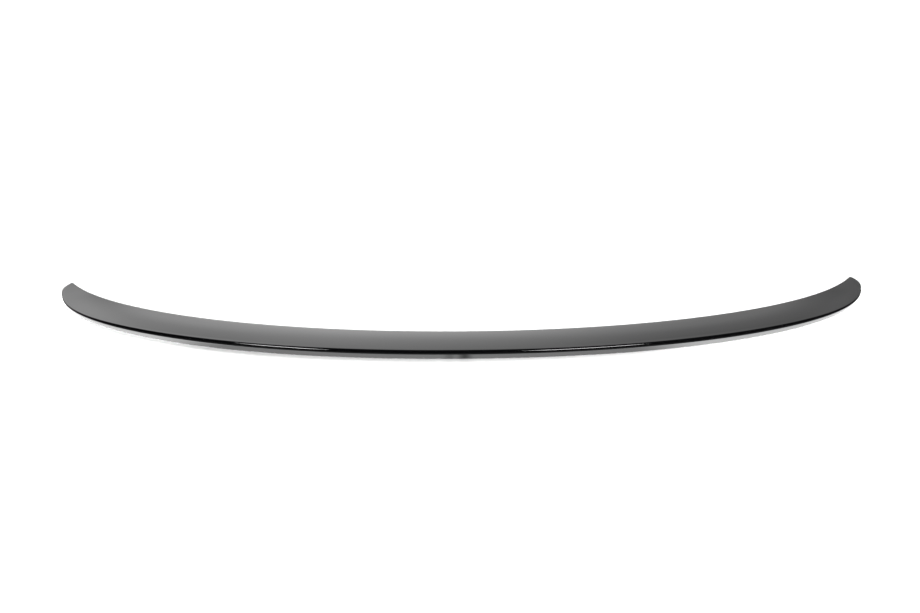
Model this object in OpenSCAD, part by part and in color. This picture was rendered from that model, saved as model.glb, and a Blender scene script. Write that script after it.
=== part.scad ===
/* [Plan] */
// Length across the car, between the widest points
span = 1200; // [1000:10:1500]
// How far the trailing edge sweeps forward from its middle to its widest points
sweep = 183; // [120:1:260]
// How far each front corner lies inside the widest point
tip_in = 10; // [6:0.5:14]
// How far each front corner lies ahead of the widest point
tip_forward = 20; // [15:1:30]
// Front to rear width on the centre line
width = 66.5; // [52:0.5:90]
// Width of the blunt end at each front corner
corner_w = 4; // [4:0.5:8]

/* [Section] */
// Height of the crest on the centre line
crest_h = 11; // [9:0.5:24]
// Height of the crest at the widest points
tip_h = 3; // [2.6:0.2:6]
// How late the crest falls away towards the tips, as a power
fall_power = 1.9; // [1.5:0.1:8]
// Radius of the crest
crest_r = 6; // [2:0.25:7]
// Thickness of the front edge
front_h = 2.6; // [2:0.1:4]
// Radius along the top of the front edge
front_r = 1.1; // [0.6:0.1:1.5]
// Radius along the bottom edges
base_r = 0.5; // [0.3:0.1:0.8]
// Crown of the top face, from flat at 0 to most bent at 1
top_crown = 0.7; // [0:0.05:0.8]
// Lean of the rear face from upright, its foot behind its top, in degrees
rear_lean = 8; // [2:1:15]

/* [Underside] */
// Thickness of the shell over the hollow
wall = 2.8; // [2:0.1:4]
// Depth of the tape seats above the base plane
seat_depth = 1; // [0.6:0.1:1.4]
// Width of the front tape seat
front_seat_w = 13; // [8:1:16]
// Width of the rear tape seat
rear_seat_w = 6.5; // [5:0.5:9]
// Width of the rim outside each tape seat
rim_w = 1.6; // [1.2:0.1:2.4]
// Distance along the edge from the widest point back to the end of the tape seats
seat_end = 20; // [15:1:40]
// Distance along the edge from the widest point back to the end of the hollow
hollow_end = 84; // [60:1:160]
// Lean of the hollow's walls for the mould, across their depth
draft = 0.4; // [0.2:0.1:0.8]

/* [Ribs] */
// Distance between the cross ribs along the trailing edge
rib_pitch = 80; // [50:2:120]
// Thickness of the ribs
rib_t = 1.8; // [1.2:0.1:2.6]
// Height of the ribs' feet above the tape seats
rib_foot = 1; // [0.5:0.1:2]
// Place of the long rib between the rear and the front of the hollow
long_rib_at = 0.45; // [0.3:0.05:0.7]

/* [Hidden] */
half = span / 2;
// Both long edges are quarter ellipses, and past its widest points the trailing edge turns in on a rounder one
edge_turn = 180 - asin((half - tip_in) / half);
tip_depth = -tip_forward / cos(edge_turn);
// The trailing edge ends at this corner, and the front edge ends beside it, across the blunt end
corner = [half - tip_in, sweep + tip_forward];
front_turn = asin((corner[0] - corner_w) / half);
front_sweep = (corner[1] - width) / (1 - cos(front_turn));
// The part is centred over its own base
shift_y = -corner[1] / 2;
// Largest shares of the height and of the width that a radius takes where the section is small
crest_share = 0.55;
front_share = 0.45;
width_share = 0.3;
// Longest steps between sections along the trailing edge: over the hollow, over the seats' ends, to the
// widest point, and on to the corner
long_step = 18;
seat_step = 8;
tip_step = 5;
corner_step = 3;
// Steps round the section's arcs and along its top
heel_steps = 2;
crest_steps = 9;
top_steps = 7;
nose_steps = 3;
toe_steps = 1;
// Narrowest hollow that the bottom features are laid out for
least_hollow = 10;
// Shortest stretch of hollow past the last rib
least_bay = rib_pitch / 3;
curve_steps = 180;

// A point of an edge that starts on the centre line and sweeps forward to its widest point and past it
function edge_point(depth, a) = [half * sin(a), depth - (a < 90 ? depth : tip_depth) * cos(a)];
// Running length of such an edge against its angle
function edge_table(depth, turn) = [
    for (
        i = 0, run = 0;
        i <= curve_steps;
        run = run + norm(
            edge_point(depth, turn * (i + 1) / curve_steps) - edge_point(depth, turn * i / curve_steps)
        ),
        i = i + 1
    ) [run, turn * i / curve_steps]
];
rear_table = edge_table(sweep, edge_turn);
front_table = edge_table(front_sweep, front_turn);
rear_len = rear_table[curve_steps][0];
front_len = front_table[curve_steps][0];

// A share of 0 on the centre line and 1 at the widest point and beyond
function reach(a) = a < 90 ? sin(a) : 1;
function crest_at(a) = tip_h + (crest_h - tip_h) * (1 - pow(reach(a), fall_power));

// Points of an arc whose outward normal turns from one angle to another, measured from up towards the rear
function arc(centre, r, from, to, steps) = [
    for (i = [0 : steps])
        let (a = from + (to - from) * i / steps)
            centre + r * [-sin(a), cos(a)]
];

// Closed outline of one cross section, as [distance from the trailing edge, height]
function section(w, h, seat, open, rib) =
    let (
        front = min(front_h, h),
        r = min(crest_r, crest_share * h, width_share * w),
        rf = min(front_r, front_share * front, width_share * w),
        crest_c = [(h - r) * tan(rear_lean) + r / cos(rear_lean), h - r],
        nose_c = [w - rf, front - rf],
        slope = (h - front) / (w - crest_c[0]),
        slope_rear = atan((1 - top_crown) * slope),
        slope_front = atan((1 + top_crown) * slope),
        top_0 = crest_c + r * [sin(slope_rear), cos(slope_rear)],
        top_1 = nose_c + rf * [sin(slope_front), cos(slope_front)],
        drop = top_0[1] - top_1[1],
        heel_c = [base_r * tan(rear_lean) + base_r / cos(rear_lean), base_r],
        // Bottom features keep their sizes while they fit, and shrink together towards the blunt end
        rear_0 = heel_c[0],
        room = w - base_r - rear_0,
        need = 2 * rim_w + rear_seat_w + front_seat_w + 4 * draft + rib_t + least_hollow,
        k = min(1, room / need),
        seat_z = seat_depth * seat,
        rear_1 = rear_0 + k * rim_w,
        rear_2 = rear_1 + k * rear_seat_w,
        front_1 = w - base_r - k * rim_w,
        front_2 = front_1 - k * front_seat_w,
        hollow_0 = rear_2 + k * draft,
        hollow_1 = front_2 - k * draft,
        mid = hollow_0 + long_rib_at * (hollow_1 - hollow_0),
        mid_0 = mid - k * rib_t / 2,
        mid_1 = mid + k * rib_t / 2,
        foot_z = seat_z + rib_foot * seat
    )
    let (
        top_z = function (u)
            let (s = max(0, (u - top_0[0]) / (top_1[0] - top_0[0])))
                top_0[1] - drop * ((1 - top_crown) * s + top_crown * s * s),
        ceiling = function (u)
            let (
                free = max(seat_z, top_z(u) - wall),
                ribbed = rib ? min(free, foot_z) : free
            )
                open ? ribbed : seat_z,
        foot = function (u) open ? min(ceiling(u), foot_z) : seat_z
    )
        concat(
            arc(heel_c, base_r, 180, 90 - rear_lean, heel_steps),
            arc(crest_c, r, 90 - rear_lean, -slope_rear, crest_steps),
            [
                for (i = [1 : top_steps - 1])
                    let (u = top_0[0] + (top_1[0] - top_0[0]) * i / top_steps)
                        [u, top_z(u)]
            ],
            arc(nose_c, rf, -slope_front, -90, nose_steps),
            arc([w - base_r, base_r], base_r, -90, -180, toe_steps),
            [[front_1, 0]],
            [[front_1 - k * draft / 2, seat_z]],
            [[front_2, seat_z]],
            [for (u = [hollow_1, mid_1 + k * draft]) [u, ceiling(u)]],
            [for (u = [mid_1, mid_0]) [u, foot(u)]],
            [for (u = [mid_0 - k * draft, hollow_0]) [u, ceiling(u)]],
            [[rear_2, seat_z]],
            [[rear_1 + k * draft / 2, seat_z]],
            [[rear_1, 0]]
        );

// Even places between two others, both left out
function between(a, b, step) =
    let (n = ceil((b - a) / step))
        [for (i = [1 : 1 : n - 1]) a + (b - a) * i / n];

// Places along the trailing edge where sections stand, as [place, tape seat, hollow, rib]
widest = lookup(90, [for (row = rear_table) [row[1], row[0]]]);
seat_stop = widest - seat_end;
hollow_stop = widest - hollow_end;
rib_half = rib_t / 2;
ribs = floor((hollow_stop - least_bay) / rib_pitch);
half_places = concat(
    [
        for (i = [0 : ribs])
            let (
                at = i * rib_pitch,
                next = i < ribs ? at + rib_pitch - rib_half - draft : hollow_stop
            )
                each concat(
                    i > 0 ? [[at - rib_half - draft, 1, true, false], [at - rib_half, 1, true, true]] : [],
                    [[at + rib_half, 1, true, true], [at + rib_half + draft, 1, true, false]],
                    [for (s = between(at + rib_half + draft, next, long_step)) [s, 1, true, false]]
                )
    ],
    [[hollow_stop, 1, true, false], [hollow_stop + draft, 1, false, false]],
    [for (s = between(hollow_stop + draft, seat_stop, seat_step)) [s, 1, false, false]],
    [[seat_stop, 1, false, false], [seat_stop + draft, 0, false, false]],
    [for (s = between(seat_stop + draft, widest, tip_step)) [s, 0, false, false]],
    [[widest, 0, false, false]],
    [for (s = between(widest, rear_len, corner_step)) [s, 0, false, false]],
    [[rear_len, 0, false, false]]
);

// One cross section set up in space, on the line that joins the same share of both edges
function placed(place, side) =
    let (
        a = lookup(place[0], rear_table),
        b = lookup(place[0] * front_len / rear_len, front_table),
        rear = edge_point(sweep, a),
        chord = [0, width] + edge_point(front_sweep, b) - rear,
        w = norm(chord),
        along = chord / w
    )
        [
            for (p = section(w, crest_at(a), place[1], place[2], place[3]))
                [side * (rear[0] + along[0] * p[0]), rear[1] + along[1] * p[0] + shift_y, p[1]]
        ];

// Mean of a ring's points, which lies inside the plain section of a blunt end
function middle(ring) = [for (p = ring) 1 / len(ring)] * ring;

module lip() {
    last = len(half_places) - 1;
    rings = concat(
        [for (i = [last : -1 : 0]) placed(half_places[i], -1)],
        [for (i = [0 : last]) placed(half_places[i], 1)]
    );
    n = len(rings[0]);
    m = len(rings);
    points = concat([for (ring = rings) each ring], [middle(rings[0]), middle(rings[m - 1])]);
    skin = [
        for (j = [0 : m - 2])
            for (i = [0 : n - 1])
                let (
                    next = (i + 1) % n,
                    a = j * n + i,
                    b = j * n + next,
                    c = (j + 1) * n + next,
                    d = (j + 1) * n + i
                )
                    each [[a, b, c], [a, c, d]]
    ];
    // Each blunt end is closed by a fan about its middle
    ends = [
        for (i = [0 : n - 1])
            let (next = (i + 1) % n)
                each [[m * n, next, i], [m * n + 1, (m - 1) * n + i, (m - 1) * n + next]]
    ];
    color([0.03, 0.03, 0.035])
        polyhedron(points = points, faces = concat(skin, ends), convexity = 8);
}

lip();
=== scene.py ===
import math

import bmesh
import bpy
from mathutils import Matrix, Vector


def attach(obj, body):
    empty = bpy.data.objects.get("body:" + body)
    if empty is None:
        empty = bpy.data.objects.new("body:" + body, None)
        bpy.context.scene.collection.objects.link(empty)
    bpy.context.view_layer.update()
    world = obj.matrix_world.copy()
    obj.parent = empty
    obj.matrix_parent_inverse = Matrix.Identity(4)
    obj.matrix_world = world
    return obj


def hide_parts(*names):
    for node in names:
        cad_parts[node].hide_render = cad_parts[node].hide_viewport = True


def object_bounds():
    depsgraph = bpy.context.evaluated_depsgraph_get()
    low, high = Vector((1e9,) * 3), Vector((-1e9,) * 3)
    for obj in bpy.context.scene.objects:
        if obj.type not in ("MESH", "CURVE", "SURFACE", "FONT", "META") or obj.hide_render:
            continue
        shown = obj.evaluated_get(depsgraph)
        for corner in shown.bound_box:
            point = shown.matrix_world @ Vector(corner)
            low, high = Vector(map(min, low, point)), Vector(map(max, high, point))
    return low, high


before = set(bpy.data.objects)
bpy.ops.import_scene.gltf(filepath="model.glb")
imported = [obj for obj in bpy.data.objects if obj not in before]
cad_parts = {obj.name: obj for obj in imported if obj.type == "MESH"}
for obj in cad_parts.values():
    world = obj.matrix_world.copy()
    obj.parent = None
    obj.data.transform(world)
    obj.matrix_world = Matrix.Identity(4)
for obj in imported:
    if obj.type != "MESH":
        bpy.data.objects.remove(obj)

mm = 0.001
cadLow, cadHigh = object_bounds()  # the CAD model's box
print("frame loaded, box in mm:", [round(v / mm, 2) for v in (*cadLow, *cadHigh)])


# A shader value that adds its own Math nodes when it is used in an expression
class Value:
    def __init__(self, graph, socket):
        self.graph = graph
        self.socket = socket

    def maths(self, operation, *values):
        return self.graph.node("ShaderNodeMath", {"operation": operation}, dict(enumerate(values)))

    def __add__(self, other):
        return self.maths("ADD", self, other)

    def __sub__(self, other):
        return self.maths("SUBTRACT", self, other)

    def __rsub__(self, other):
        return self.maths("SUBTRACT", other, self)

    def __mul__(self, other):
        return self.maths("MULTIPLY", self, other)

    def __truediv__(self, other):
        return self.maths("DIVIDE", self, other)

    def __pow__(self, other):
        return self.maths("POWER", self, other)

    def __rpow__(self, other):
        return self.maths("POWER", other, self)

    def __lt__(self, other):
        return self.maths("LESS_THAN", self, other)

    def __abs__(self):
        return self.maths("ABSOLUTE", self)

    __radd__ = __add__
    __rmul__ = __mul__

    # 0 before the start, 1 past the end and soft between them, upwards or downwards
    def soft(self, start, end):
        return self.graph.node(
            "ShaderNodeMapRange",
            {"interpolation_type": "SMOOTHSTEP"},
            {"Value": self, "From Min": start, "From Max": end},
        )


# The nodes of one material or of the surroundings
class Graph:
    def __init__(self, owner):
        owner.use_nodes = True
        self.tree = owner.node_tree
        self.tree.nodes.clear()

    def node(self, kind, settings=None, inputs=None, out=0):
        made = self.tree.nodes.new(kind)
        for name, setting in (settings or {}).items():
            setattr(made, name, setting)
        for name, given in (inputs or {}).items():
            if isinstance(given, Value):
                self.tree.links.new(given.socket, made.inputs[name])
            else:
                made.inputs[name].default_value = given
        return Value(self, made.outputs[out]) if len(made.outputs) else None

    def axes(self, place):
        parts = self.tree.nodes.new("ShaderNodeSeparateXYZ")
        self.tree.links.new(place.socket, parts.inputs[0])
        return [Value(self, parts.outputs[i]) for i in range(3)]

    def noise(self, place, scale, detail, stretch=(1, 1, 1)):
        stretched = self.node("ShaderNodeMapping", {}, {"Vector": place, "Scale": stretch})
        return self.node("ShaderNodeTexNoise", {}, {"Vector": stretched, "Scale": scale, "Detail": detail})

    # Inputs 6 and 7 and output 2 are the node's colour sockets
    def mix(self, factor, first, second):
        given = {"Factor": factor, 6: first, 7: second}
        return self.node("ShaderNodeMix", {"data_type": "RGBA"}, given, out=2)


def newMaterial(name):
    material = bpy.data.materials.new(name)
    return material, Graph(material)


def newPiece(name, bm):
    mesh = bpy.data.meshes.new(name)
    bm.to_mesh(mesh)
    bm.free()
    piece = bpy.data.objects.new(name, mesh)
    bpy.context.scene.collection.objects.link(piece)
    return piece


# Camera: behind the lip and 34 degrees up, as the photograph was taken
view = {
    "elevation": 34.0,  # degrees above the table
    "azimuth": 1.02,  # degrees to the left of straight behind
    "distance": 2600,  # mm from the middle of the part's foot
    "target": (-4.58, 32.7, 0),  # mm, at the middle of the picture
    "roll": 0.033,  # degrees
    "lens": 69.46,  # mm
    "sensor": 36,  # mm wide
    "reach": 60,  # metres that the camera sees
}


def addCamera():
    up = math.radians(view["elevation"])
    side = math.radians(view["azimuth"])
    place = view["distance"] * mm * Vector((
        -math.sin(side) * math.cos(up),
        -math.cos(side) * math.cos(up),
        math.sin(up),
    ))
    ahead = (mm * Vector(view["target"]) - place).normalized()
    right = ahead.cross(Vector((0, 0, 1))).normalized()
    right = Matrix.Rotation(math.radians(-view["roll"]), 3, ahead) @ right
    above = right.cross(ahead)
    data = bpy.data.cameras.new("camera")
    data.sensor_fit = "HORIZONTAL"
    data.sensor_width = view["sensor"]
    data.lens = view["lens"]
    data.clip_end = view["reach"]
    camera = bpy.data.objects.new("camera", data)
    camera.matrix_world = Matrix.Translation(place) @ Matrix((right, above, -ahead)).transposed().to_4x4()
    bpy.context.scene.collection.objects.link(camera)
    bpy.context.scene.camera = camera


addCamera()
print("camera placed")


# The lip: one cross section is extruded along the swept edge, half of it, and then mirrored
lip = {
    "span": 1200,  # lengths are in mm and angles in degrees
    "sweep": 183,  # of the trailing edge, from its middle to its widest points
    "tipIn": 10,  # how far each front corner lies inside the widest point
    "tipForward": 20,  # and ahead of it
    "rearPower": 2.11,  # 2 makes the trailing edge a quarter ellipse, and more makes it fuller
    "frontPower": 2,
    "width": 66.5,  # front to rear on the centre line
    "cornerWidth": 4,  # of the blunt end at each front corner
    "crestHeight": 11,
    "tipHeight": 3,
    "fallPower": 7,  # how late the crest falls away towards the tips
    "crestRadius": 6,
    "frontHeight": 2.6,
    "frontRadius": 1.1,
    "baseRadius": 0.5,
    "topCrown": 0.7,
    "rearLean": 8,
    "wall": 2.8,
    "seatDepth": 1,  # of the two tape seats
    "frontSeatWidth": 13,
    "rearSeatWidth": 6.5,
    "rimWidth": 1.6,
    "seatEnd": 20,  # where the seats end, along the edge from the widest point
    "hollowEnd": 84,  # and where the hollow does
    "draft": 0.4,
    "ribPitch": 80,
    "ribThickness": 1.8,
    "ribFoot": 1,  # height of the ribs' feet above the seats
    "longRibAt": 0.45,  # place of the long rib between the rear and the front of the hollow
    "leastHollow": 10,
    "filletShare": 0.55,  # most of the height that the crest's radius may take
    "noseShare": 0.45,  # and that the front edge's may
    "narrowShare": 0.3,  # most of the width that a radius may take
    "endRound": 0.4,  # of the blunt ends
    "longStep": 3,  # between sections as far as the seats go
    "tipStep": 1.5,  # and past them
    "edgeSteps": 720,  # of the tables of running length
    "heelSteps": 4,
    "crestSteps": 20,
    "topSteps": 14,
    "noseSteps": 6,
    "toeSteps": 3,
    "frontBaySteps": 3,  # across the hollow ahead of the long rib
    "rearBaySteps": 2,  # and behind it
    "endSteps": 4,
    "weld": 0.01,  # reach of the joint between the two halves
    "sharp": 32,  # edges that fold more than this stay crisp
}


# A point of a long edge: nearly a quarter ellipse, and a rounder one past the widest point
def edgePoint(depth, angle, power):
    half = lip["span"] / 2
    across = half * math.sin(angle)
    if angle < math.pi / 2:
        return Vector((across, depth * (1 - (1 - math.sin(angle) ** power) ** (1 / power))))
    tipDepth = lip["tipForward"] / math.cos(math.asin((half - lip["tipIn"]) / half))
    return Vector((across, depth - tipDepth * math.cos(angle)))


# Running length of a long edge against its angle
def edgeLengths(depth, turn, power):
    steps = lip["edgeSteps"]
    rows = [(0.0, 0.0)]
    for i in range(steps):
        here = edgePoint(depth, turn * i / steps, power)
        there = edgePoint(depth, turn * (i + 1) / steps, power)
        rows.append((rows[-1][0] + (there - here).length, turn * (i + 1) / steps))
    return rows


def angleAt(rows, length):
    total = rows[-1][0]
    reach = min(max(length / total, 0), 1) * total
    low, high = 0, len(rows) - 1
    while high - low > 1:
        middle = (low + high) // 2
        if rows[middle][0] <= reach:
            low = middle
        else:
            high = middle
    along = (reach - rows[low][0]) / (rows[high][0] - rows[low][0])
    return rows[low][1] + along * (rows[high][1] - rows[low][1])


def lengthAt(rows, angle):
    return next(length for length, turn in rows if turn >= angle)


# Points of an arc, its outward normal measured from up towards the rear
def arcPoints(centre, radius, start, end, steps):
    angles = [math.radians(start + (end - start) * i / steps) for i in range(steps + 1)]
    return [(centre[0] - radius * math.sin(a), centre[1] + radius * math.cos(a)) for a in angles]


# Closed outline of one cross section: distance from the trailing edge, height, and 1 on the moulded inside
def section(width, height, seated, hollow, ribbed):
    s = lip
    front = min(s["frontHeight"], height)
    r = min(s["crestRadius"], s["filletShare"] * height, s["narrowShare"] * width)
    rf = min(s["frontRadius"], s["noseShare"] * front, s["narrowShare"] * width)
    rb = s["baseRadius"]
    lean = math.radians(s["rearLean"])
    crest = ((height - r) * math.tan(lean) + r / math.cos(lean), height - r)
    nose = (width - rf, front - rf)
    slope = (height - front) / (width - crest[0])
    slopeRear = math.atan((1 - s["topCrown"]) * slope)
    slopeFront = math.atan((1 + s["topCrown"]) * slope)
    topStart = (crest[0] + r * math.sin(slopeRear), crest[1] + r * math.cos(slopeRear))
    topEnd = (nose[0] + rf * math.sin(slopeFront), nose[1] + rf * math.cos(slopeFront))
    heel = (rb * math.tan(lean) + rb / math.cos(lean), rb)

    def topHeight(u):
        t = max(0, (u - topStart[0]) / (topEnd[0] - topStart[0]))
        return topStart[1] - (topStart[1] - topEnd[1]) * ((1 - s["topCrown"]) * t + s["topCrown"] * t * t)

    # The bottom features shrink together towards the blunt end
    room = width - rb - heel[0]
    seats = s["rearSeatWidth"] + s["frontSeatWidth"]
    need = 2 * s["rimWidth"] + seats + 4 * s["draft"] + s["ribThickness"] + s["leastHollow"]
    k = min(1, room / need)
    draft = k * s["draft"]
    seat = s["seatDepth"] * seated
    foot = seat + s["ribFoot"] * seated
    rear1 = heel[0] + k * s["rimWidth"]
    rear2 = rear1 + k * s["rearSeatWidth"]
    front1 = width - rb - k * s["rimWidth"]
    front2 = front1 - k * s["frontSeatWidth"]
    hollow0 = rear2 + draft
    hollow1 = front2 - draft
    ribMiddle = hollow0 + s["longRibAt"] * (hollow1 - hollow0)
    rib0 = ribMiddle - k * s["ribThickness"] / 2
    rib1 = ribMiddle + k * s["ribThickness"] / 2

    def ceiling(u):
        free = max(seat, topHeight(u) - s["wall"])
        return (min(free, foot) if ribbed else free) if hollow else seat

    def ribEdge(u):
        return min(ceiling(u), foot) if hollow else seat

    def bay(start, end, steps):
        places = [start + (end - start) * i / steps for i in range(steps + 1)]
        return [(u, ceiling(u)) for u in places]

    outside = arcPoints(heel, rb, 180, 90 - s["rearLean"], s["heelSteps"])
    outside += arcPoints(crest, r, 90 - s["rearLean"], -math.degrees(slopeRear), s["crestSteps"])
    for i in range(1, s["topSteps"]):
        u = topStart[0] + (topEnd[0] - topStart[0]) * i / s["topSteps"]
        outside.append((u, topHeight(u)))
    outside += arcPoints(nose, rf, -math.degrees(slopeFront), -90, s["noseSteps"])
    outside += arcPoints((width - rb, rb), rb, -90, -180, s["toeSteps"])
    inside = [(front1, 0), (front1 - draft / 2, seat), (front2, seat)]
    inside += bay(hollow1, rib1 + draft, s["frontBaySteps"])
    inside += [(rib1, ribEdge(rib1)), (rib0, ribEdge(rib0))]
    inside += bay(rib0 - draft, hollow0, s["rearBaySteps"])
    inside += [(rear2, seat), (rear1 + draft / 2, seat), (rear1, 0)]
    return [(u, z, 0.0) for u, z in outside] + [(u, z, 1.0) for u, z in inside]


# Even places from one to another, the first left out
def upTo(start, end, step):
    count = max(1, math.ceil((end - start) / step))
    return [start + (end - start) * (i + 1) / count for i in range(count)]


# Places along the trailing edge from the centre line: place, seated, hollow, ribbed
def sectionPlaces(widest, total):
    s = lip
    half = s["ribThickness"] / 2
    hollowStop = widest - s["hollowEnd"]
    seatStop = widest - s["seatEnd"]
    leastBay = s["ribPitch"] / 3  # shortest stretch of hollow past the last rib
    places = [(0.0, 1, True, True)]
    ribs = math.floor((hollowStop - leastBay) / s["ribPitch"])
    for i in range(ribs + 1):
        at = i * s["ribPitch"]
        if i:
            places += [(at - half, 1, True, True)]
        places += [(at + half, 1, True, True), (at + half + s["draft"], 1, True, False)]
        end = at + s["ribPitch"] - half - s["draft"] if i < ribs else hollowStop
        places += [(p, 1, True, False) for p in upTo(at + half + s["draft"], end, s["longStep"])]
    places += [(hollowStop + s["draft"], 1, False, False)]
    places += [(p, 1, False, False) for p in upTo(hollowStop + s["draft"], seatStop, s["longStep"])]
    places += [(seatStop + s["draft"], 0, False, False)]
    places += [(p, 0, False, False) for p in upTo(seatStop + s["draft"], widest, s["tipStep"])]
    places += [(p, 0, False, False) for p in upTo(widest, total - s["endRound"], s["tipStep"])]
    return places


def lipRings():
    s = lip
    half = s["span"] / 2
    corner = Vector((half - s["tipIn"], s["sweep"] + s["tipForward"]))
    shift = Vector((0, corner[1] / 2))  # the lip is centred over its own base
    frontTurn = math.asin((corner[0] - s["cornerWidth"]) / half)
    frontSweep = (corner[1] - s["width"]) / (1 - math.cos(frontTurn))
    rearRows = edgeLengths(s["sweep"], math.pi - math.asin(corner[0] / half), s["rearPower"])
    frontRows = edgeLengths(frontSweep, frontTurn, s["frontPower"])
    total = rearRows[-1][0]
    widest = lengthAt(rearRows, math.radians(90))
    places = [(*row, 0.0) for row in sectionPlaces(widest, total)]
    # The blunt end is rounded over by the last few sections
    for i in range(1, s["endSteps"] + 1):
        turn = math.radians(90 * i / s["endSteps"])
        reach = total - s["endRound"] * (1 - math.sin(turn))
        places.append((reach, 0, False, False, s["endRound"] * (1 - math.cos(turn))))
    for place, seated, hollow, ribbed, inset in places:
        angle = angleAt(rearRows, place)
        frontAngle = angleAt(frontRows, place * frontRows[-1][0] / total)
        rear = edgePoint(s["sweep"], angle, s["rearPower"])
        chord = Vector((0, s["width"])) + edgePoint(frontSweep, frontAngle, s["frontPower"]) - rear
        along = chord.normalized()
        fall = 1 - (math.sin(angle) if angle < math.pi / 2 else 1) ** s["fallPower"]
        height = s["tipHeight"] + (s["crestHeight"] - s["tipHeight"]) * fall
        outline = section(chord.length, height, seated, hollow, ribbed)
        low = Vector((min(p[0] for p in outline), 0))
        high = Vector((max(p[0] for p in outline), max(p[1] for p in outline)))
        middle = (low + high) / 2
        shrink = Vector((1 - 2 * inset / (high[0] - low[0]), 1 - 2 * inset / high[1]))
        ring = []
        for u, z, moulded in outline:
            u = middle[0] + shrink[0] * (u - middle[0])
            z = middle[1] + shrink[1] * (z - middle[1])
            flat = rear + u * along - shift
            ring.append((mm * Vector((flat[0], flat[1], z)), moulded))
        yield ring


def buildLip():
    bm = bmesh.new()
    moulded = bm.verts.layers.float.new("moulded")
    ring = []
    edges = []
    for row in lipRings():
        if not ring:
            ring = [bm.verts.new(place) for place, inner in row]
            edges = [bm.edges.new((ring[i - 1], ring[i])) for i in range(len(ring))]
        else:
            grown = bmesh.ops.extrude_edge_only(bm, edges=edges)["geom"]
            fresh = {v for v in grown if isinstance(v, bmesh.types.BMVert)}
            ring = [next(e.other_vert(v) for e in v.link_edges if e.other_vert(v) in fresh) for v in ring]
            edges = [bm.edges.get((ring[i - 1], ring[i])) for i in range(len(ring))]
        for v, (place, inner) in zip(ring, row):
            v.co = place
            v[moulded] = inner
    bmesh.ops.edgeloop_fill(bm, edges=edges)
    everything = bm.verts[:] + bm.edges[:] + bm.faces[:]
    bmesh.ops.mirror(bm, geom=everything, axis="X", merge_dist=lip["weld"] * mm)
    bmesh.ops.recalc_face_normals(bm, faces=bm.faces)
    for face in bm.faces:
        face.smooth = True
    for edge in bm.edges:
        edge.smooth = edge.calc_face_angle(0) < math.radians(lip["sharp"])
    print("lip volume in cm3:", round(bm.calc_volume(signed=True) * 1e6, 2), "faces:", len(bm.faces))
    return newPiece("lip_skin", bm)


# Gloss black plastic, dull inside the moulding where nothing is polished
gloss = {
    "colour": (0.003, 0.003, 0.0034, 1),
    "innerColour": (0.012, 0.012, 0.013, 1),
    "ior": 1.5,
    "roughness": 0.03,
    "haze": 0.035,  # what faint wiping marks add to it
    "wipeScale": 7,  # scales are in waves to the metre
    "wipeDetail": 4,
    "wipeStretch": (1, 3.2, 1),
    "wipeLimits": (0.42, 0.72),
    "steadyHaze": 0.6,  # share of the haze that is even, and the rest comes in speckles
    "speckledHaze": 0.4,
    "speckleScale": 90,
    "speckleDetail": 3,
    "speckleLimits": (0.5, 0.8),
    "peelScale": 260,  # slow waves of the polished skin
    "peelDetail": 1,
    "peelDepth": 0.0000012,  # depths are in metres
    "innerRoughness": 0.4,
    "grainRoughness": 0.08,  # what the grain adds to it
    "grainScale": 2600,
    "grainDetail": 2,
    "grainDepth": 0.00002,
}


def glossBlack():
    material, g = newMaterial("glossBlack")
    place = g.node("ShaderNodeTexCoord", out="Object")
    inner = g.node("ShaderNodeAttribute", {"attribute_name": "moulded"}, out="Fac")
    wiping = g.noise(place, gloss["wipeScale"], gloss["wipeDetail"], gloss["wipeStretch"])
    wiped = wiping.soft(*gloss["wipeLimits"])
    speckle = g.noise(place, gloss["speckleScale"], gloss["speckleDetail"]).soft(*gloss["speckleLimits"])
    grain = g.noise(place, gloss["grainScale"], gloss["grainDetail"])
    peel = g.noise(place, gloss["peelScale"], gloss["peelDetail"])
    haze = gloss["haze"] * wiped * (gloss["steadyHaze"] + gloss["speckledHaze"] * speckle)
    dull = gloss["innerRoughness"] + gloss["grainRoughness"] * grain
    height = peel * gloss["peelDepth"] + inner * grain * gloss["grainDepth"]
    surface = g.node("ShaderNodeBsdfPrincipled", {}, {
        "Base Color": g.mix(inner, gloss["colour"], gloss["innerColour"]),
        "Roughness": gloss["roughness"] + haze + inner * dull,
        "IOR": gloss["ior"],
        "Normal": g.node("ShaderNodeBump", {}, {"Height": height, "Strength": 1.0, "Distance": 1.0}),
    })
    g.node("ShaderNodeOutputMaterial", {}, {"Surface": surface})
    return material


lipSkin = buildLip()
lipSkin.data.materials.append(glossBlack())
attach(lipSkin, "root")
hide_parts("lip")
print("lip built")


# A flat thing of the studio, level or turned
def addPlane(name, size, middle, material, turn=Matrix.Identity(3)):
    bm = bmesh.new()
    bmesh.ops.create_grid(bm, x_segments=1, y_segments=1, size=0.5)
    bmesh.ops.scale(bm, vec=(*size, 1), verts=bm.verts)
    bmesh.ops.rotate(bm, matrix=turn, verts=bm.verts)
    bmesh.ops.translate(bm, vec=middle, verts=bm.verts)
    plane = newPiece(name, bm)
    plane.data.materials.append(material)
    return plane


def onlyInReflections(thing):
    thing.visible_camera = False
    thing.visible_diffuse = False
    thing.visible_shadow = False
    thing.visible_transmission = False
    thing.visible_volume_scatter = False


# White table
table = {
    "size": (30, 30),  # metres
    "height": -0.3,  # mm, just under the lip's rims
    "colour": (0.9, 0.9, 0.9, 1),
    "roughness": 0.6,
    "shine": 0.2,
    "glare": (0.85, 1.7),  # metres from the middle over which it turns overexposed
}


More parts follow.
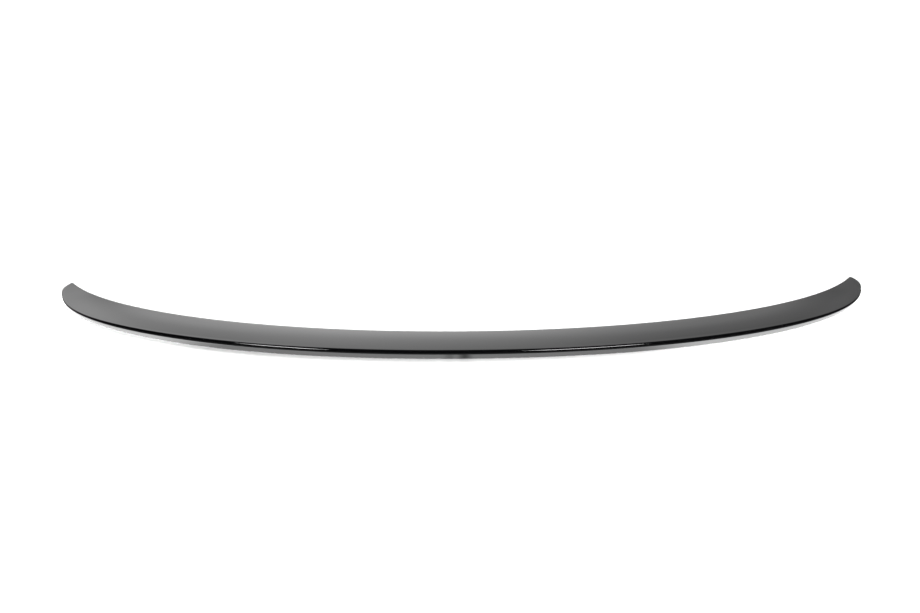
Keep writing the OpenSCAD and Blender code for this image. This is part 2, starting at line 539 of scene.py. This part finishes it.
def tableTop():
    material, g = newMaterial("tableTop")
    x, y = g.axes(g.node("ShaderNodeTexCoord", out="Object"))[:2]
    away = (x ** 2 + y ** 2) ** 0.5
    surface = g.node("ShaderNodeBsdfPrincipled", {}, {
        "Base Color": table["colour"],
        "Roughness": table["roughness"],
        "Specular IOR Level": table["shine"],
        "Emission Color": g.mix(away.soft(*table["glare"]), (0, 0, 0, 1), (1, 1, 1, 1)),
        "Emission Strength": 1.0,
    })
    g.node("ShaderNodeOutputMaterial", {}, {"Surface": surface})
    return material


addPlane("table", table["size"], (0, 0, table["height"] * mm), tableTop())
print("table laid")


# A glowing sheet seen only in reflections: the painted reflection of the overexposed table in the rear
# face, brighter near the ends of the lip
glow = {
    "size": (4, 4),  # metres
    "height": -0.1,  # mm, between the table and the lip
    "edge": (0.97, 1.0),  # where it sets in: 1 is the quarter ellipse near the trailing edge
    "elsewhere": 1.0,  # brightness under the lip and ahead of it
    "behind": 4.2,  # and behind it
    "left": 8.0,  # what the left end adds
    "leftLimits": (-0.34, -0.47),  # metres across
    "right": 7.0,
    "rightLimits": (0.24, 0.36),
    "paintedDarkReflections": ((-21.5, 11, 0.33), (0.5, 15, 0.67)),  # darker places of the painted reflection, for dark things mirrored near the middle of the rear face: across, reach in mm, depth
}


# Emission that paints the rear face's reflection of the table; it is seen in nothing else
def tableGlow():
    material, g = newMaterial("tableGlow")
    x, y = g.axes(g.node("ShaderNodeTexCoord", out="Object"))[:2]
    half = lip["span"] * mm / 2
    sweep = lip["sweep"] * mm
    widestY = cadLow[1] + sweep
    ellipse = (x / half) ** 2 + ((y - widestY) / sweep) ** 2
    outside = ellipse.soft(*glow["edge"]) * (y < widestY)
    left = glow["left"] * x.soft(*glow["leftLimits"])
    right = glow["right"] * x.soft(*glow["rightLimits"])
    behind = glow["behind"] + left + right
    # Painted dark reflections: the mirrored glow is dimmed at these places
    for middle, reach, depth in glow["paintedDarkReflections"]:
        start, peak, end = (mm * place for place in (middle - reach, middle, middle + reach))
        behind = behind * (1 - depth * (x.soft(start, peak) - x.soft(peak, end)))
    strength = glow["elsewhere"] + outside * (behind - glow["elsewhere"])
    light = g.node("ShaderNodeEmission", {}, {"Strength": strength})
    g.node("ShaderNodeOutputMaterial", {}, {"Surface": light})
    return material


onlyInReflections(addPlane("table_glow", glow["size"], (0, 0, glow["height"] * mm), tableGlow()))
print("glow laid")


# What the lip mirrors of the room: a bright backdrop ahead, dull light behind and dark above.
# Limits are parts of a direction of length 1, upwards or, where a note says so, across.
room = {
    "turn": (-0.3, 0.3),  # forwards, from behind to ahead
    "backdrop": 2.15,  # brightness of what stands beyond the table
    "sideFall": 0.09,  # its change from left to right, as a power of the part across
    "top": (0.66, 0.74),  # where it ends
    "sides": (0.36, 0.48),  # across, how far to each side it reaches
    "middle": (0.03, 0.13),  # across, where its middle turns into its sides
    "band": 0.2,  # what a duller band across each side takes off
    "bandStart": (0.26, 0.38),
    "bandEnd": (0.46, 0.51),
    "bandStop": 0.7,  # how much of that band has gone again at its far ends
    "leftStop": (-0.15, -0.2),  # across
    "rightStop": (0.2, 0.235),  # across
    "foot": (0.2, 0.36),  # where the backdrop's foot ends
    "footMiddle": 0.13,  # what the foot adds in the middle
    "footSides": 0.3,  # and how much less of it there is to the sides
    "behind": 0.4,
    "behindTop": (0.3, 0.72),
    "dark": 0.004,
}


def addSurroundings():
    world = bpy.data.worlds.new("surroundings")
    bpy.context.scene.world = world
    g = Graph(world)
    x, y, z = g.axes(g.node("ShaderNodeTexCoord", out="Generated"))
    ahead = y.soft(*room["turn"])
    aside = abs(x)
    sides = aside.soft(*room["middle"])
    wide = sides - room["bandStop"] * (x.soft(*room["leftStop"]) + x.soft(*room["rightStop"]))
    band = 1 - room["band"] * wide * (z.soft(*room["bandStart"]) - z.soft(*room["bandEnd"]))
    foot = 1 + (1 - z.soft(*room["foot"])) * (room["footMiddle"] - room["footSides"] * sides)
    ends = (1 - z.soft(*room["top"])) * (1 - aside.soft(*room["sides"]))
    backdrop = room["backdrop"] * room["sideFall"] ** x * band * foot * ends
    behind = room["behind"] * (1 - z.soft(*room["behindTop"]))
    mirrored = room["dark"] + ahead * backdrop + (1 - ahead) * behind
    seen = g.node("ShaderNodeLightPath", out="Is Camera Ray")
    light = g.node("ShaderNodeBackground", {}, {"Strength": seen + (1 - seen) * mirrored})
    g.node("ShaderNodeOutputWorld", {}, {"Surface": light})


addSurroundings()
print("surroundings made")


# Two softboxes above, whose reflections are the thin glints along the crest
softboxes = {
    "light": 40,
    "places": ((-0.905, -0.61, 2.78), (0.665, -0.71, 2.82)),  # metres
    "sizes": ((0.64, 0.22), (0.74, 0.22)),
}


def softboxFace():
    material, g = newMaterial("softboxFace")
    light = g.node("ShaderNodeEmission", {}, {"Strength": softboxes["light"]})
    g.node("ShaderNodeOutputMaterial", {}, {"Surface": light})
    return material


def addSoftboxes():
    face = softboxFace()
    for i, (place, size) in enumerate(zip(softboxes["places"], softboxes["sizes"])):
        turn = (-Vector(place)).to_track_quat("-Z", "Y").to_matrix()
        onlyInReflections(addPlane(f"softbox_{i + 1}", size, place, face, turn))


addSoftboxes()
print("softboxes hung")


# Soft lamps that point at the lip and aren't mirrored in it
lamps = {
    "size": (3.0, 2.0),  # metres
    "places": {"key": (5.1, 1.65, 2.7), "fill": (0.4, -1.4, 2.6), "front": (-0.8, 3.2, 2.2)},
    "powers": {"key": 400, "fill": 58, "front": 130},  # watts
}


def addLamp(name):
    data = bpy.data.lights.new(name, "AREA")
    data.shape = "RECTANGLE"
    data.size, data.size_y = lamps["size"]
    data.energy = lamps["powers"][name]
    lamp = bpy.data.objects.new(name, data)
    lamp.location = lamps["places"][name]
    lamp.rotation_euler = (-lamp.location).to_track_quat("-Z", "Y").to_euler()
    lamp.visible_glossy = False
    bpy.context.scene.collection.objects.link(lamp)


for name in lamps["places"]:
    addLamp(name)
bpy.context.scene.view_settings.view_transform = "Standard"
print("lamps hung")
